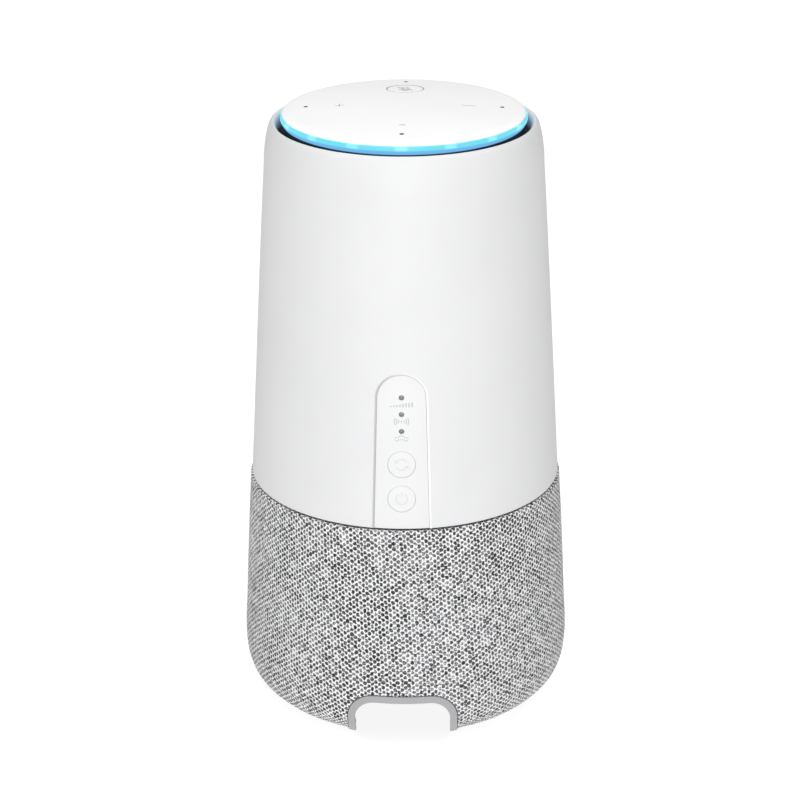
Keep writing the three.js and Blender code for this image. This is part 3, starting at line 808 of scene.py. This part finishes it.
mute_profile = rounded([(0, -5.0), (1.5, -5.0), (1.5, -3.95), (7.2, -3.95), (7.2, -3.6), (MUTE_RADIUS, -3.6),
                        (MUTE_RADIUS, 0), (0, 0)], {6: 0.3})
rings = [(r, 0) for r in (4.5, 3.0, 1.5)]
mute_profile = [*mute_profile[:-1], *rings, (0, 0)]
mute = on_dome(lathe("mute_key_top", mute_profile, 96), 0, MUTE_Y, -0.01)
piece(mute, CAP, "mute_key", ("mute_button",))
bezel = rounded([(MUTE_RADIUS + 0.03, -1.2), (MUTE_RADIUS + 0.29, -1.2), (MUTE_RADIUS + 0.29, 0.0),
                 (MUTE_RADIUS + 0.03, 0.0)], {2: 0.04, 3: 0.04})
piece(on_dome(lathe("mute_bezel", bezel, 96), 0, MUTE_Y, 0.0), PRINT)
mute_sign = [
    stroke("s", arc(0, 1.1, 0.95, 0, 180, 10) + arc(0, -0.3, 0.95, 180, 360, 10), 0.3, CAP_INK,
           closed=True),
    stroke("s", arc(0, -0.3, 1.85, 190, 350, 16), 0.3, CAP_INK),
    stroke("s", line(0, -2.2, 0, -3.0), 0.3, CAP_INK),
    stroke("s", line(-1.0, -3.05, 1.0, -3.05), 0.3, CAP_INK),
    stroke("s", line(-2.5, 2.2, 2.5, -2.7), 0.34, CAP_INK),
]
piece(on_dome(joined("mute_sign", mute_sign), 0, MUTE_Y, 0.0), PRINT, "mute_key")
plus = [stroke("s", line(-1.45, 0, 1.45, 0), 0.26, CAP_INK), stroke("s", line(0, -1.45, 0, 1.45), 0.26, CAP_INK)]
piece(on_dome(joined("plus_sign", plus), -TOUCH_X, TOUCH_Y, 0.0), PRINT)
minus = stroke("minus_sign", line(-2.1, 0, 2.1, 0), 0.28, CAP_INK)
piece(on_dome(minus, TOUCH_X, TOUCH_Y, 0.0), PRINT)
action = stroke("action_sign", line(-0.9, 0, 0.9, 0), 0.5, CAP_INK)
piece(on_dome(action, 0, -22.3, 0.0), PRINT)

ring_corners = [(34.2, 187.2), (RING_RADIUS - 0.7, 187.2), (RING_RADIUS, 188.4), (RING_RADIUS, 189.75),
                (34.2, 189.75)]
ring_profile = rounded(ring_corners, {1: 0.3, 2: 0.3, 3: 0.3})
piece(lathe("glow_ring", ring_profile), GLOW_AND_REFLECTION, stands_for=("light_ring",))

# ---- floor, lights, camera -------------------------------------------------
bpy.context.scene.view_settings.view_transform = "Standard"
floor_mesh = bpy.data.meshes.new("floor")
floor_mesh.from_pydata([(-8, -8, 0), (8, -8, 0), (8, 8, 0), (-8, 8, 0)], [], [(0, 1, 2, 3)])
floor = bpy.data.objects.new("floor", floor_mesh)
bpy.context.scene.collection.objects.link(floor)
floor_shader = Shader("floor", Roughness=0.9)
floor_shader.main.inputs["Base Color"].default_value = (0.19, 0.19, 0.19, 1)
floor_shader.main.inputs["Emission Color"].default_value = (1, 1, 1, 1)
floor_shader.main.inputs["Emission Strength"].default_value = 0.88
floor.data.materials.append(floor_shader.material)

world = bpy.data.worlds.new("studio")
bpy.context.scene.world = world
world.use_nodes = True
world.node_tree.nodes["Background"].inputs["Color"].default_value = (1.0, 1.0, 1.0, 1)
world.node_tree.nodes["Background"].inputs["Strength"].default_value = 0.2


def place_light(data, azimuth, elevation, target=(0, 0, 0), distance=0.0):
    """Puts a light at a distance from its target, in degrees from the front and above level."""
    light = bpy.data.objects.new(data.name, data)
    a, e = math.radians(azimuth), math.radians(elevation)
    back = Vector((math.sin(a) * math.cos(e), -math.cos(a) * math.cos(e), math.sin(e)))
    light.location = Vector(target) + back * distance
    light.rotation_mode = "QUATERNION"
    light.rotation_quaternion = (-back).to_track_quat("-Z", "Y")
    bpy.context.scene.collection.objects.link(light)


top_soft = bpy.data.lights.new("top_soft", "SUN")
top_soft.energy = 2.55
top_soft.angle = math.radians(60)
place_light(top_soft, 0, 84)
front_soft = bpy.data.lights.new("front_soft", "AREA")
front_soft.shape = "RECTANGLE"
front_soft.size, front_soft.size_y = 0.5, 1.0
front_soft.energy = 26.5
place_light(front_soft, -0.5, 10, (0, 0, 0.07), 2.2)

camera = bpy.data.cameras.new("camera")
camera.lens = 107.646
camera.sensor_width = 36.0
camera.clip_start, camera.clip_end = 0.01, 50
camera_object = bpy.data.objects.new("camera", camera)
bpy.context.scene.collection.objects.link(camera_object)
bpy.context.scene.camera = camera_object
ELEVATION, AZIMUTH, ROLL = math.radians(22.20), math.radians(1.40), math.radians(0.2465)
DISTANCE, SIDESTEP = 0.7598, 0.00156
target = Vector((0, 0, 0.09583))
level = math.cos(ELEVATION)
ahead = Vector((-math.sin(AZIMUTH) * level, math.cos(AZIMUTH) * level, -math.sin(ELEVATION)))
across = Vector((math.cos(AZIMUTH), math.sin(AZIMUTH), 0))
upward = across.cross(ahead)
right = across * math.cos(ROLL) - upward * math.sin(ROLL)
top = across * math.sin(ROLL) + upward * math.cos(ROLL)
location = target - ahead * DISTANCE - across * SIDESTEP
camera_object.matrix_world = Matrix((
    (right.x, top.x, -ahead.x, location.x),
    (right.y, top.y, -ahead.y, location.y),
    (right.z, top.z, -ahead.z, location.z),
    (0, 0, 0, 1),
))
